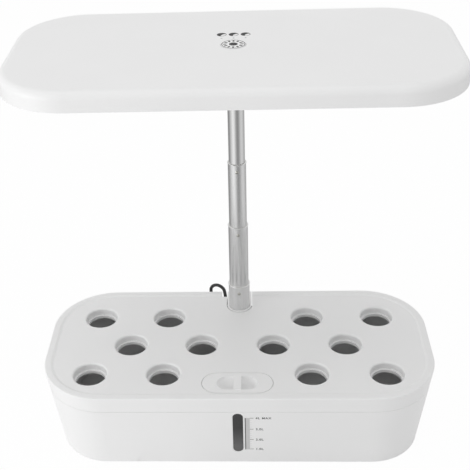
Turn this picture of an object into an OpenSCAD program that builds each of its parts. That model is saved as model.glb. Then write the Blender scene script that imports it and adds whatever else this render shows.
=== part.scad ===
// Countertop hydroponic garden: a water tank with a planting deck, a telescopic mast and a grow lamp.
// Sizes are in millimetres. +Z is up and the front faces -Y.
// The origin is on the table, under the middle of the base.

/* [Base] */
// Width of the base and of the lamp above it
body_w = 398; // [380:1:460]
// Depth of the base at its rim
base_d = 184; // [180:1:220]
// Height of the rim above the table
base_h = 95; // [90:1:120]
// Radius of the rim's corners in plan
rim_corner = 64; // [56:1:76]
// How far each wall leans in from the rim to the table
base_lean = 11.7; // [6:0.1:14]
// Height of the parting line between the base and the deck
seam_z = 76; // [72:1:80]
// Wall thickness of the base shell
shell_t = 2.5; // [2:0.1:3]
// Floor thickness of the base shell
floor_t = 2.5; // [2:0.1:4]
// Depth of the shallow arch at the foot of the front wall
arch_depth = 0.8; // [0.4:0.1:1.2]
// Width of that arch
arch_w = 208; // [120:1:230]
// Height of that arch
arch_h = 14.6; // [10:0.1:16]

/* [Tank] */
// Wall thickness of the water tank
tank_t = 1.8; // [1.4:0.1:2.4]
// Space between the tank and the base shell
tank_gap = 0.5; // [0.3:0.1:1]
// Height of the tank's open edge
tank_top = 71.5; // [64:0.5:71.5]

/* [Level window] */
// Width of the window
window_w = 10.4; // [8:0.1:14]
// Length of the window
window_l = 57.4; // [40:0.1:57.6]
// Height of the window's middle
window_z = 45.6; // [44:0.1:45.7]
// How deep the pane sits below the wall's face
window_inset = 0.4; // [0.2:0.1:1]
// Width of the pane's flange around the slot
window_flange = 3; // [2:0.1:4]

/* [Deck] */
// Thickness of the deck plate
deck_t = 2.5; // [2:0.1:4]
// How far the deck plate lies below the rim
deck_sink = 1; // [0.6:0.1:2]
// Width of the raised rim
rim_w = 6.5; // [5:0.1:10]
// Width of the slope from the rim down to the deck plate
rim_slope = 2.6; // [1:0.1:3.5]
// Radius of the rim's outer edge
rim_round = 1.2; // [1:0.1:2.2]
// Depth of the deck's lip inside the base shell
lip_h = 3.5; // [2:0.1:4]

/* [Pod holes] */
// Radius of the seat that takes a pod's rim
pod_r = 16.9; // [14:0.1:18]
// Radius of the hole below the seat
pod_throat_r = 15; // [11:0.1:15.5]
// Depth of the seat
pod_depth = 8.2; // [4:0.1:9]
// Thickness of the ring below the seat
pod_ledge_t = 3.2; // [2:0.1:4]
// Radius of the seat's rounded edge
pod_round = 2; // [0.8:0.1:2.2]
// Half the spacing of the holes along a row
pod_pitch = 37.3; // [37:0.1:39]
// Spacing of the rows
pod_row = 48; // [44:0.5:50]
// Place of the middle row
pod_y = -4; // [-8:0.5:0]

/* [Filler cap] */
// Length of the cap
cap_l = 70.4; // [60:0.2:80]
// Width of the cap
cap_w = 30.4; // [28:0.2:32]
// Distance of the cap's middle from the front of the rim
cap_front = 25.6; // [24:0.1:28]
// Thickness of the cap's plate
cap_t = 2; // [1.5:0.1:2.2]
// Gap between the cap and the deck around it
cap_gap = 0.5; // [0.3:0.05:0.8]
// Length of the finger scoop
scoop_l = 41.5; // [32:0.5:46]
// Width of the scoop
scoop_w = 21; // [16:0.5:22]
// Depth of the scoop
scoop_depth = 8; // [5:0.5:9]
// Width of the grip across the scoop
grip_w = 7.5; // [5:0.1:10]

/* [Mast] */
// Place of the mast to the right of the middle
mast_x = 1.6; // [0:0.1:3]
// Distance of the mast's middle from the back of the rim
mast_back = 25.6; // [24:0.1:28]
// Outer radius of the lowest tube
tube_r = 11.3; // [10:0.1:12]
// Wall thickness of each tube
tube_t = 0.5; // [0.4:0.05:0.6]
// Step in radius from one tube to the next
tube_step = 1; // [0.8:0.01:1.1]
// Height of the lowest tube's mouth
mouth_z = 124.5; // [115:0.5:135]
// How far each tube reaches out of the one below
stage_l = 73.7; // [60:0.1:80]
// How far one tube stays inside the next
tube_overlap = 20; // [16:0.5:24]
// Radius of the tower that holds the mast
tower_r = 13.35; // [13:0.05:14]
// Gap between the tower and the deck
notch_gap = 0.7; // [0.3:0.1:1]
// Height of the tube's foot in the tower
well_z = 14; // [12:0.5:20]
// Length of a guide bush
bush_l = 11; // [8:0.5:12]
// Radius of the rivet heads
rivet_r = 1.8; // [1:0.1:2.2]

/* [Lamp] */
// Depth of the lamp
lamp_d = 200; // [190:1:220]
// Height of the lamp's top above the table
lamp_top = 419; // [415:0.5:440]
// Thickness of the lamp
lamp_t = 17.5; // [17:0.5:24]
// Radius of the lamp's corners in plan
lamp_corner = 63; // [50:1:76]
// Radius of the lamp's upper edge
lamp_round = 7; // [4:0.5:9]
// Wall thickness of the lamp housing
lamp_wall = 2.2; // [1.8:0.1:2.6]
// Thickness of the light cover
cover_t = 2; // [1.5:0.1:2.5]
// Distance of the light board's ends from the lamp's ends
board_end = 44; // [41:0.5:60]
// Distance of the light board's sides from the lamp's front and back
board_side = 25; // [22:0.5:27]
// Spacing of the light diodes
led_pitch = 20; // [16:0.5:26]
// Side of a light diode
led_w = 5; // [3:0.1:6]

/* [Mode button] */
// Radius of the button
button_r = 11; // [9:0.1:12]
// Place of the button to the right of the middle
button_x = 1.5; // [0:0.1:3]
// Place of the button behind the middle
button_y = 2.4; // [0:0.1:4]
// How far the button stands above the lamp's top
button_proud = 0.3; // [0.2:0.05:0.6]
// Travel of the button
button_travel = 1; // [0.5:0.1:1]
// Radius of an indicator light
light_r = 1; // [0.6:0.1:1.4]
// Spacing of the indicator lights
light_pitch = 10.7; // [8:0.1:12]
// Distance from the button to the indicator lights
light_row = 16.3; // [15:0.1:17]

/* [Pump] */
// Length of the pump's motor block
pump_l = 33; // [28:0.5:38]
// Width of the pump
pump_w = 30; // [26:0.5:32]
// Height of the pump
pump_h = 26; // [23:0.5:28]
// Place of the pump, from the middle to the back
pump_y = 22; // [18:0.5:24]
// Height of the suction feet
cup_h = 3.5; // [2.5:0.1:5]
// Radius of the impeller shaft
shaft_r = 1; // [0.8:0.05:1.2]

/* [Power lead] */
// Diameter of the lead
lead_d = 3.7; // [3:0.1:4]
// Length of the wall adapter
adapter_l = 56; // [50:1:64]
// Width of the wall adapter
adapter_w = 36; // [30:1:44]
// Height of the wall adapter
adapter_h = 28; // [24:1:34]

/* [Hidden] */
$fn = 96;

// Clearances and small sizes that several pieces share
run = 0.05;          // radial clearance of a running fit, and of a screw in its pilot hole
slip = 0.02;         // radial clearance of a piece that is pressed home
loose = 0.1;         // clearance of a piece laid in a recess, and of a screw in a plain hole
lift_gap = 0.3;      // clearance around a piece that lifts off
foot_gap = 0.5;      // how far the shell stays above the table
over = 1;            // how far a cut runs past the face that it opens
far = 500;           // longer than any piece that is cut
edge = 0.8;          // small chamfer on outer edges

// Base: straight lengths between the corner centres, and the lean of the walls
base_ax = body_w/2 - rim_corner;
base_ay = base_d/2 - rim_corner;
lean = base_lean/base_h;
lean_deg = atan(lean);
function rim_r(z) = rim_corner - lean*(base_h - z);
floor_z = foot_gap + floor_t;
arch_rise = 1;       // straight part below the arch's corners

// Feet under the corners: their places are measured in from the rim
foot_r = 9;
foot_t = 2;
foot_in_x = 52;
foot_in_y = 42;

// Tank, with a tab that backs the window above the tank's edge, and a notch for the pump's lead
tank_floor_z = floor_z + tank_t;
tank_out = shell_t + tank_gap;
tab_side = 2;
lead_notch = 3;
lead_notch_w = 8;

// Window: the pane's flange lies behind the tank's wall, with the gasket between them
pane_back = -(tank_out + tank_t)*cos(lean_deg);
pane_gap = 0.15;
pane_flange_t = 1.6;
gasket_t = 0.8;

// Deck: its plate, the skirt around it, the lip below it and the ring under each pod's seat
deck_z = base_h - deck_sink;
skirt_t = 2.3;
skirt_foot = 2;
lip_t = 1.8;
lip_out = rim_r(seam_z - lip_h) - shell_t - lift_gap;
groove_h = 0.3;
groove_depth = 0.5;
collar_t = 2;

// Filler cap: the seat around its hole, its skirt and its seal
cap_y = cap_front - base_d/2;
cap_ledge = 2.8;
cap_seat_t = 3;
cap_seat_out = 2;
cap_skirt = 5;
cap_wall = 1.6;
seal_t = 1.2;
seal_drop = 2.2;
grip_rise = 0.9;

// Tower for the mast, its boss on the shell's floor, and the screws between them
mast_y = base_d/2 - mast_back;
tower_fit = 0.4;
boss_r = 11.5;
boss_top = 6.5;
screw_r = 1.5;
screw_head_r = 2.9;
screw_head_h = 1.8;
screw_seat = 1.5;
screw_in = 6;
tower_top = base_h;
notch_r = tower_r + notch_gap;
mouth_chamfer = 0.4;

// Gland in the tower's ear, where the lead leaves
gland_side = 2.35;
gland_back = 5.6;
gland_x = mast_x - tower_r - gland_side;
gland_y = base_d/2 - gland_back;
gland_r = 2.6;
gland_z = 78;
gland_top = 84;
gland_taper = 2.5;
ear_w = 7.6;
ear_front = 3.7;
ear_top = gland_top - gland_taper;
ear_left = gland_x - ear_w/2;

// Mast stages, counted from 1 at the bottom
function stage_r(n) = tube_r - (n - 1)*tube_step;
function stage_top(n) = mouth_z + (n - 1)*stage_l;
function stage_foot(n) = n == 1 ? well_z : stage_top(n - 1) - tube_overlap;
mouth_lip = 0.5;
stop_gap = 0.3;
slide_l = tube_overlap - bush_l - stop_gap;
rivet_drop = 8;
rivet_rise = 0.7;
rivet_shank = 0.8;
rivet_seat = 0.1;

// Lamp: levels from the top down
lamp_z = lamp_top - lamp_t;
lamp_ax = body_w/2 - lamp_corner;
lamp_ay = lamp_d/2 - lamp_corner;
roof_z = lamp_top - lamp_wall;
cover_z = lamp_z + 1;
board_t = 1.6;
board_gap = 3;
board_z = cover_z + cover_t + board_gap;
board_w = body_w - 2*board_end;
board_d = lamp_d - 2*board_side;
board_corner = 4;
led_t = 1.4;
led_clear = 6;
led_end = 8;
led_side = 14;
led_nx = floor((board_w/2 - led_end)/led_pitch);
led_ny = floor((board_d/2 - led_side)/led_pitch);
control_w = 46;
control_d = 44;
control_corner = 2;
control_drop = 5.8;
control_back = 8;
control_z = roof_z - control_drop;
control_y = button_y + control_back;

// Head that joins the mast's last tube to the lamp's roof
head_r = 13;
head_flange_w = 46;
head_flange_d = 34;
head_flange_t = 3;
head_corner = 3;
head_up = 0.5;

// Fine screws in the lamp: their studs, their places in from an edge, and how far they bite
stud_r = 4;
fine_screw_r = 1.4;
fine_head_r = 2.8;
fine_head_h = 0.9;
board_screw_in = 5;
small_screw_in = 4;
cover_end_x = 29;
cover_end_y = 28;
cover_side_x = 60;
cover_side_y = 13;
head_bite = 0.8;
cover_bite = 7;
board_bite = 6;
control_bite = 3;

// Button: its flange under the roof, its stem and the silicone sleeve that returns it
button_flange = 1.4;
button_flange_t = 1.2;
button_flange_z = roof_z - 2*loose - button_flange_t;
control_top = control_z + board_t;
dome_r = 3;
dome_h = 0.5;
stem_r = 2.5;
sleeve_out = 6.5;
sleeve_in = 5;

// Pump: levels and places from the tank's floor, with the motor block to the right of the volute
pump_z = tank_floor_z + cup_h;
pump_cz = pump_z + pump_h/2;
pump_shift = 4;
pump_x0 = -pump_l/2 + pump_shift;
pump_x1 = pump_x0 + pump_l;
pump_corner = 3;
volute_l = 9;
volute_corner = 2;
rotor_r = 6.6;
rotor_gap = 0.5;
rotor_out = 0.6;
rotor_back = 6;
rotor_well = pump_l - rotor_back;
rotor_end = 1.6;
disc_t = 1.2;
vane_r = 8.5;
vane_h = 3.6;
vane_t = 1.2;
vane_gap = 0.8;
hub_r = 2.4;
inlet_r = 1.5;
inlet_ring = 4.4;
outlet_y = 7;
outlet_r = 4;
outlet_bore = 2.6;
outlet_l = 8;
shaft_in = 1.2;
cup_r = 5;
cup_neck_r = 2.4;
cup_in = 5;

// Lead: its free stretches as points that the tube follows, measured from the gland's axis or from
// the coil's, and its coil behind the base
coil_side = 3.3;
coil_back = 45.6;
coil_x = gland_x + coil_side;
coil_y = gland_y + coil_back;
coil_mid_r = 22.2;
coil_turns_across = 3;
coil_w = coil_turns_across*lead_d;
tie_t = 0.8;
tie_w = 8;
tie_out = coil_mid_r + coil_w/2 + 2*loose;
tie_in = sqrt(pow(coil_mid_r - coil_w/2, 2) - tie_w*tie_w/4) - 2*loose;
adapter_side = 60;
adapter_back = 4;
adapter_x = coil_x + adapter_side;
adapter_y = coil_y + adapter_back;
adapter_corner = 4;
relief_l = 18;
relief_r = 4;
pin_l = 16;
pin_w = 6.3;
pin_t = 1.5;
pin_pitch = 12.7;
function from_gland(points) = [for (p = points) p + [gland_x, gland_y, 0]];
function from_coil(points) = [for (p = points) p + [coil_x, coil_y, 0]];
lead_out = from_gland([[0, 0, 84], [0, 0, 84.7], [0, 0, 85.4], [-0.05, 0.26, 87.38],
    [-0.23, 1.06, 89.41], [-0.5, 2.36, 91.16], [-0.86, 4.07, 92.49], [-1.26, 5.94, 93.57],
    [-1.79, 7.78, 94.64], [-2.82, 9.4, 95.72], [-4.29, 10.62, 96.79], [-6.05, 11.39, 97.84],
    [-8.03, 12.09, 98.48], [-10.1, 12.82, 98.54], [-12.11, 13.53, 98.03], [-13.93, 14.17, 96.97],
    [-15.42, 14.7, 95.45], [-16.48, 15.07, 93.57], [-17.04, 15.27, 91.46], [-17.2, 15.9, 86],
    [-17.8, 16.7, 77], [-18.4, 17.9, 64], [-19.1, 19, 50], [-20.5, 19.8, 34], [-21.5, 21.2, 20],
    [-22.1, 24.2, 10], [-22.5, 29.6, 4.2], [-22.6, 35.6, 2.7], [-22.6, 41.6, 2.65]]);
lead_in = from_coil([[0, 25.9, 10.05], [7, 25.6, 9.7], [14, 24.2, 8.9], [20.5, 21, 8.1],
    [26, 16, 8], [30.5, 10.4, 9.6], [34.5, 6, 12.4], [38, 4.2, 13.8], [40, 4, 14], [41, 4, 14],
    [42, 4, 14]]);
pump_route = concat([[-9, 37, 27], [-9, 38, 27], [-9, 39.5, 27], [-10.4, 43, 29],
    [-13.9, 46.5, 33.5], [-17.2, 51, 40], [-18.4, 58, 49]],
    from_gland([[-4.1, -19.4, 57], [-3.3, -10.9, 62.5], [-2.2, -5.4, 67], [-1, -2.5, 71.5],
    [-0.1, -1.2, 74], [0, -0.9, 75.4], [0, -0.9, 76.7], [0, -0.9, 78]]));
pump_lead_d = 2.8;

// ---- helpers ----

// Carries a half section around a rounded rectangle whose corner centres are at (ax, ay)
module swept(ax, ay) {
    for (k = [0:3]) {
        sx = (k == 0 || k == 3) ? 1 : -1;
        sy = k < 2 ? 1 : -1;
        out = k % 2 == 0 ? ax : ay;
        half = k % 2 == 0 ? ay : ax;
        translate([sx*ax, sy*ay, 0]) rotate([0, 0, 90*k]) rotate_extrude(angle = 90) children();
        rotate([0, 0, 90*k]) translate([out, half, 0]) rotate([90, 0, 0])
            linear_extrude(2*half) children();
    }
}

// Fills the middle that a swept section leaves open
module core(ax, ay, z0, z1) {
    translate([-ax, -ay, z0]) cube([2*ax, 2*ay, z1 - z0]);
}

// A solid of the base's outer form, drawn in by inset, from z0 to z1
module base_form(inset, z0, z1) {
    swept(base_ax, base_ay)
        polygon([[0, z0], [rim_r(z0) - inset, z0], [rim_r(z1) - inset, z1], [0, z1]]);
    core(base_ax, base_ay, z0, z1);
}

module stadium(l, w) {
    square([l - w, w], center = true);
    for (s = [-1, 1]) translate([s*(l - w)/2, 0]) circle(d = w);
}

module rounded_square(w, d, r) {
    square([w - 2*r, d], center = true);
    square([w, d - 2*r], center = true);
    for (sx = [-1, 1], sy = [-1, 1]) translate([sx*(w/2 - r), sy*(d/2 - r)]) circle(r);
}

module ring(r_out, r_in, h) {
    difference() {
        cylinder(r = r_out, h = h);
        translate([0, 0, -over]) cylinder(r = r_in, h = h + 2*over);
    }
}

// Turns a drawing onto the front wall: x across, y up the wall from the table, z out of it
module on_front() {
    translate([0, -(base_d/2 - base_lean), 0]) rotate([90 + lean_deg, 0, 0]) children();
}

// A round tube through points, with one ring of sides at each point and between them
function unit3(v) = v/norm(v);
function spline_at(p, i, t) =
    let (a = p[max(i - 1, 0)], b = p[i], c = p[i + 1], d = p[min(i + 2, len(p) - 1)],
         m = (c - a)/2, n = (d - b)/2)
    (2*t*t*t - 3*t*t + 1)*b + (t*t*t - 2*t*t + t)*m + (3*t*t - 2*t*t*t)*c + (t*t*t - t*t)*n;
function smooth_route(p, steps) =
    concat([for (i = [0:len(p) - 2], s = [0:steps - 1]) spline_at(p, i, s/steps)], [p[len(p) - 1]]);
function heading(q, i) = unit3(q[min(i + 1, len(q) - 1)] - q[max(i - 1, 0)]);
function carried(q, i) = i == 0
    ? unit3(cross(heading(q, 0), abs(heading(q, 0)[2]) < 0.8 ? [0, 0, 1] : [1, 0, 0]))
    : let (u = carried(q, i - 1), t = heading(q, i)) unit3(u - (u*t)*t);

module tube_along(points, d, steps = 2, sides = 8) {
    q = smooth_route(points, steps);
    n = len(q);
    rings = [for (i = [0:n - 1]) let (t = heading(q, i), u = carried(q, i), v = cross(t, u))
        for (k = [0:sides - 1]) q[i] + d/2*(cos(360*k/sides)*u + sin(360*k/sides)*v)];
    walls = [for (i = [0:n - 2], k = [0:sides - 1]) let (a = i*sides + k,
        b = i*sides + (k + 1) % sides) [a, a + sides, b + sides, b]];
    start = [[for (k = [0:sides - 1]) k]];
    end = [[for (k = [sides - 1:-1:0]) (n - 1)*sides + k]];
    polyhedron(points = rings, faces = concat(walls, start, end), convexity = 6);
}

// ---- base ----

module at_feet() {
    for (sx = [-1, 1], sy = [-1, 1])
        translate([sx*(body_w/2 - foot_in_x), sy*(base_d/2 - foot_in_y), 0]) children();
}

module at_socket_screws() {
    for (sx = [-1, 1], sy = [-1, 1])
        translate([mast_x + sx*screw_in, mast_y + sy*screw_in, 0]) children();
}

module window_slot(grow, w0, w1) {
    on_front() translate([0, window_z/cos(lean_deg), w0]) linear_extrude(w1 - w0)
        rotate(90) stadium(window_l + 2*grow, window_w + 2*grow);
}

module front_arch() {
    r = arch_h - arch_rise;
    on_front() translate([0, 0, -arch_depth]) linear_extrude(arch_depth + over) {
        translate([-arch_w/2, -over]) square([arch_w, over + arch_h - r]);
        translate([-(arch_w/2 - r), -over]) square([arch_w - 2*r, over + arch_h]);
        for (s = [-1, 1]) translate([s*(arch_w/2 - r), arch_h - r]) circle(r);
    }
}

module base_shell() color("white") difference() {
    union() {
        swept(base_ax, base_ay) polygon([[0, foot_gap], [rim_r(foot_gap) - edge, foot_gap],
            [rim_r(foot_gap + edge), foot_gap + edge], [rim_r(seam_z), seam_z],
            [rim_r(seam_z) - shell_t, seam_z], [rim_r(floor_z) - shell_t, floor_z], [0, floor_z]]);
        core(base_ax, base_ay, foot_gap, floor_z);
        translate([mast_x, mast_y, foot_gap]) cylinder(r = boss_r, h = boss_top - foot_gap);
    }
    at_feet() translate([0, 0, -over]) cylinder(r = foot_r + loose, h = foot_t + over);
    at_socket_screws() translate([0, 0, -over]) {
        cylinder(r = screw_r + loose, h = boss_top + 2*over);
        cylinder(r = screw_head_r + 2*loose, h = screw_seat + screw_head_h + over);
    }
    window_slot(0, -shell_t - over, over);
    front_arch();
}

// The room for the tower, open to the back
module mast_well(grow) {
    r = tower_r + tower_fit + grow;
    translate([mast_x, mast_y, -over]) {
        cylinder(r = r, h = far);
        translate([-r, 0, 0]) cube([2*r, base_d, far]);
    }
}

// The strip of the tank's front wall around the window, as high as the deck lets it be
module window_tab(side) {
    translate([-window_w/2 - window_flange - side, -base_d, 0])
        cube([window_w + 2*(window_flange + side), base_d, seam_z - lift_gap]);
}

module inner_tank() color("whitesmoke") difference() {
    base_form(tank_out, floor_z, seam_z - lift_gap);
    mast_well(0);
    difference() {
        base_form(tank_out + tank_t, tank_floor_z, seam_z + over);
        mast_well(tank_t);
    }
    difference() {
        translate([-far, -far, tank_top]) cube([2*far, 2*far, far]);
        window_tab(tab_side);
    }
    window_slot(0, pane_back - over, over);
    translate([gland_x - lead_notch_w/2, mast_y, tank_top - lead_notch])
        cube([lead_notch_w, base_d, far]);
}

module level_window() color("dimgray") {
    window_slot(-pane_gap, pane_back - gasket_t - pane_flange_t, -window_inset);
    intersection() {
        window_slot(window_flange, pane_back - gasket_t - pane_flange_t, pane_back - gasket_t);
        window_tab(0);
    }
}

module window_gasket() color("black") difference() {
    intersection() {
        window_slot(window_flange, pane_back - gasket_t, pane_back);
        window_tab(0);
    }
    window_slot(pane_gap, pane_back - gasket_t - over, pane_back + over);
}

module rubber_feet() color("black") at_feet() cylinder(r = foot_r, h = foot_t);

module rim_section() {
    polygon([[0, seam_z], [rim_r(seam_z), seam_z], [rim_r(base_h - rim_round), base_h - rim_round],
        [rim_r(base_h) - rim_round, base_h], [0, base_h]]);
    translate([rim_r(base_h - rim_round) - rim_round, base_h - rim_round]) circle(rim_round);
}

module ear_block() {
    translate([ear_left, gland_y - ear_front, seam_z])
        cube([mast_x - ear_left, base_d, ear_top - seam_z]);
}

module mast_socket() color("white") difference() {
    union() {
        intersection() {
            base_form(shell_t + 2*loose, boss_top, seam_z);
            union() {
                translate([mast_x, mast_y, 0]) cylinder(r = tower_r, h = seam_z);
                translate([mast_x - tower_r, mast_y, 0]) cube([2*tower_r, base_d, seam_z]);
            }
        }
        intersection() {
            union() {
                swept(base_ax, base_ay) rim_section();
                core(base_ax, base_ay, seam_z, base_h);
            }
            union() {
                translate([mast_x, mast_y, seam_z]) cylinder(r = tower_r, h = tower_top - seam_z);
                translate([mast_x - tower_r, mast_y, seam_z])
                    cube([2*tower_r, base_d, tower_top - seam_z]);
                ear_block();
            }
        }
    }
    translate([mast_x, mast_y, well_z]) cylinder(r = tube_r + slip, h = far);
    translate([mast_x, mast_y, tower_top - mouth_chamfer])
        cylinder(r1 = tube_r + slip, r2 = tube_r + 2*slip + mouth_chamfer, h = mouth_chamfer + slip);
    at_socket_screws() cylinder(r = screw_r + run, h = well_z - over);
    translate([gland_x, gland_y, 0]) cylinder(r = gland_r + slip, h = far);
}

module socket_screws() color("silver") at_socket_screws() translate([0, 0, screw_seat]) {
    cylinder(r = screw_head_r, h = screw_head_h);
    cylinder(r = screw_r, h = well_z - 2*screw_seat);
}

// ---- mast ----

module tube(n, top) color("gainsboro") translate([mast_x, mast_y, 0]) difference() {
    rotate_extrude() {
        translate([stage_r(n) - tube_t, stage_foot(n)]) square([tube_t, top - stage_foot(n)]);
        if (n < 4) translate([stage_r(n), top - mouth_lip]) circle(mouth_lip);
    }
    if (n < 4) translate([0, 0, top - rivet_drop]) rotate([90, 0, 0])
        cylinder(r = rivet_shank + slip, h = far);
}

module guide_bush(n) color("whitesmoke") translate([mast_x, mast_y, stage_top(n) - bush_l])
    ring(stage_r(n) - tube_t - slip, stage_r(n + 1) + run, bush_l);

module slide_foot(n) color("whitesmoke") translate([mast_x, mast_y, stage_foot(n)])
    ring(stage_r(n - 1) - tube_t - run, stage_r(n) + slip, slide_l);

module bush_rivet(n) color("silver") translate([mast_x, mast_y, stage_top(n) - rivet_drop])
    rotate([90, 0, 0]) {
        dome = (rivet_r*rivet_r + rivet_rise*rivet_rise)/(2*rivet_rise);
        translate([0, 0, stage_r(n) - tube_t]) cylinder(r = rivet_shank, h = tube_t + 2*rivet_seat);
        translate([0, 0, stage_r(n) + rivet_seat]) intersection() {
            translate([0, 0, rivet_rise - dome]) sphere(dome);
            cylinder(r = rivet_r, h = rivet_rise);
        }
    }

module mast_tube_1() tube(1, stage_top(1));
module mast_tube_2() tube(2, stage_top(2));
module mast_tube_3() tube(3, stage_top(3));
module mast_tube_4() tube(4, roof_z - head_flange_t);
module guide_bush_1() guide_bush(1);
module guide_bush_2() guide_bush(2);
module guide_bush_3() guide_bush(3);
module slide_foot_2() slide_foot(2);
module slide_foot_3() slide_foot(3);
module slide_foot_4() slide_foot(4);
module bush_rivet_1() bush_rivet(1);
module bush_rivet_2() bush_rivet(2);
module bush_rivet_3() bush_rivet(3);

// ---- pump ----

module on_shaft(x) { translate([x, pump_y, pump_cz]) rotate([0, 90, 0]) children(); }

module pump_body() color("black") difference() {
    translate([(pump_x0 + pump_x1)/2, pump_y, pump_z]) linear_extrude(pump_h)
        rounded_square(pump_l, pump_w, pump_corner);
    on_shaft(pump_x0 - over) cylinder(r = rotor_r + rotor_gap, h = rotor_well + over);
    on_shaft(pump_x0 - over) cylinder(r = shaft_r + slip, h = pump_l - over);
}

module pump_cover() color("black") difference() {
    translate([pump_x0 - volute_l/2, pump_y, 0]) {
        translate([0, 0, pump_z]) linear_extrude(pump_h)
            rounded_square(volute_l, pump_w, volute_corner);
        translate([0, outlet_y, pump_z + pump_h - over]) cylinder(r = outlet_r, h = outlet_l + over);
    }
    on_shaft(pump_x0 - rotor_out - disc_t - vane_h - vane_gap)
        cylinder(r = vane_r + vane_gap, h = volute_l);
    on_shaft(pump_x0 - volute_l - over) for (k = [0:5]) rotate(60*k)
        translate([inlet_ring, 0, 0]) cylinder(r = inlet_r, h = volute_l);
    on_shaft(pump_x0 - volute_l + over) cylinder(r = shaft_r + slip, h = volute_l);
    translate([pump_x0 - volute_l/2, pump_y + outlet_y, pump_cz]) cylinder(r = outlet_bore, h = far);
}

module pump_impeller() color("white") difference() {
    union() {
        on_shaft(pump_x0 - rotor_out) cylinder(r = rotor_r, h = rotor_out + rotor_well - rotor_end);
        on_shaft(pump_x0 - rotor_out - disc_t) cylinder(r = vane_r, h = disc_t);
        on_shaft(pump_x0 - rotor_out - disc_t - vane_h) {
            cylinder(r = hub_r, h = vane_h);
            for (k = [0:3]) rotate(90*k) translate([hub_r/2, -vane_t/2, 0])
                cube([vane_r - vane_gap - hub_r/2, vane_t, vane_h]);
        }
    }
    on_shaft(pump_x0 - volute_l) cylinder(r = shaft_r + run, h = far);
}

module pump_shaft() color("gainsboro") on_shaft(pump_x0 - volute_l + shaft_in)
    cylinder(r = shaft_r, h = volute_l - shaft_in + pump_l - 2*over - vane_gap);

module pump_feet() color("dimgray") for (x = [pump_x0 + cup_in, pump_x1 - cup_in], s = [-1, 1])
    translate([x, pump_y + s*(pump_w/2 - cup_in - over), tank_floor_z]) {
        cylinder(r1 = cup_r, r2 = cup_neck_r, h = cup_h - over);
        cylinder(r = cup_neck_r, h = cup_h);
    }

module pump_lead() color("black") tube_along(pump_route, pump_lead_d);

// ---- power lead ----

module cord_gland() color("black") translate([gland_x, gland_y, gland_z]) {
    cylinder(r = gland_r, h = ear_top - gland_z);
    translate([0, 0, ear_top - gland_z])
        cylinder(r1 = gland_r, r2 = lead_d/2 + loose, h = gland_taper);
}

module power_cord() color("black") {
    tube_along(lead_out, lead_d);
    tube_along(lead_in, lead_d);
}

module cord_coil() color("black") translate([coil_x, coil_y, tie_t]) rotate_extrude()
    translate([coil_mid_r, coil_w/2]) rounded_square(coil_w, coil_w, lead_d/2);

module cord_tie() color("black") translate([coil_x - tie_w/2, coil_y, 0]) difference() {
    translate([0, -tie_out - tie_t, 0])
        cube([tie_w, tie_out - tie_in + 2*tie_t, coil_w + 2*tie_t + loose]);
    translate([-over, -tie_out, tie_t]) cube([tie_w + 2*over, tie_out - tie_in, coil_w + loose]);
}

module power_adapter() color("black")
    translate([adapter_x + adapter_l/2, adapter_y, 0]) linear_extrude(adapter_h)
        rounded_square(adapter_l, adapter_w, adapter_corner);

module adapter_relief() color("black") translate([adapter_x - relief_l, adapter_y, adapter_h/2])
    rotate([0, 90, 0]) cylinder(r1 = lead_d/2 + 2*loose, r2 = relief_r, h = relief_l);

module adapter_pins() color("silver") for (s = [-1, 1])
    translate([adapter_x + adapter_l, adapter_y + s*pin_pitch/2 - pin_t/2, adapter_h/2 - pin_w/2])
        cube([pin_l, pin_t, pin_w]);

// ---- deck ----

module at_pods() {
    for (x = [-4, -2, 2, 4], s = [-1, 1]) translate([x*pod_pitch, pod_y + s*pod_row, 0]) children();
    for (x = [-3, -1, 1, 3]) translate([x*pod_pitch, pod_y, 0]) children();
}

module pod_hole() {
    translate([0, 0, deck_z - pod_depth]) cylinder(r = pod_r, h = far);
    cylinder(r = pod_throat_r, h = far);
    rotate_extrude() difference() {
        translate([pod_r - over/2, deck_z - pod_round]) square([pod_round + over/2, pod_round + over]);
        translate([pod_r + pod_round, deck_z - pod_round]) circle(pod_round);
    }
}

module cap_outline(grow) {
    translate([0, cap_y, 0]) stadium(cap_l + 2*grow, cap_w + 2*grow);
}

module deck_section() {
    difference() {
        rim_section();
        // the plate's sunk top, with a slope up to the rim
        polygon([[-over, deck_z], [rim_r(base_h) - rim_w - rim_slope, deck_z],
            [rim_r(base_h) - rim_w, base_h + slip], [-over, base_h + slip]]);
        // the space below the plate
        polygon([[-over, seam_z - over], [lip_out - lip_t, seam_z - over],
            [lip_out - lip_t, seam_z + skirt_foot],
            [rim_r(seam_z + skirt_foot) - skirt_t, seam_z + skirt_foot],
            [rim_r(deck_z) - skirt_t, deck_z - deck_t], [-over, deck_z - deck_t]]);
        // a fine groove at the parting line
        translate([rim_r(seam_z) - groove_depth, seam_z - over])
            square([groove_depth + over, over + groove_h]);
    }
    translate([lip_out - lip_t, seam_z - lip_h]) square([lip_t, lip_h + over]);
}

module deck() color("white") difference() {
    union() {
        swept(base_ax, base_ay) deck_section();
        core(base_ax, base_ay, deck_z - deck_t, deck_z);
        at_pods() translate([0, 0, deck_z - pod_depth - pod_ledge_t])
            cylinder(r = pod_r + collar_t, h = pod_depth + pod_ledge_t - deck_t/2);
        translate([0, 0, deck_z - cap_t - cap_seat_t]) linear_extrude(cap_seat_t + cap_t/2)
            cap_outline(cap_seat_out);
    }
    at_pods() pod_hole();
    translate([0, 0, deck_z - cap_t]) linear_extrude(far) cap_outline(cap_gap);
    translate([0, 0, seam_z]) linear_extrude(far) cap_outline(-cap_ledge + lift_gap);
    translate([mast_x, mast_y, 0]) cylinder(r = notch_r, h = far);
    translate([mast_x - notch_r, mast_y, 0]) cube([2*notch_r, base_d, far]);
    translate([ear_left - lift_gap, gland_y - ear_front - lift_gap, 0])
        cube([notch_r, base_d, far]);
    translate([0, 0, lift_gap]) window_tab(tab_side + over);
}

// ---- filler cap ----

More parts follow.
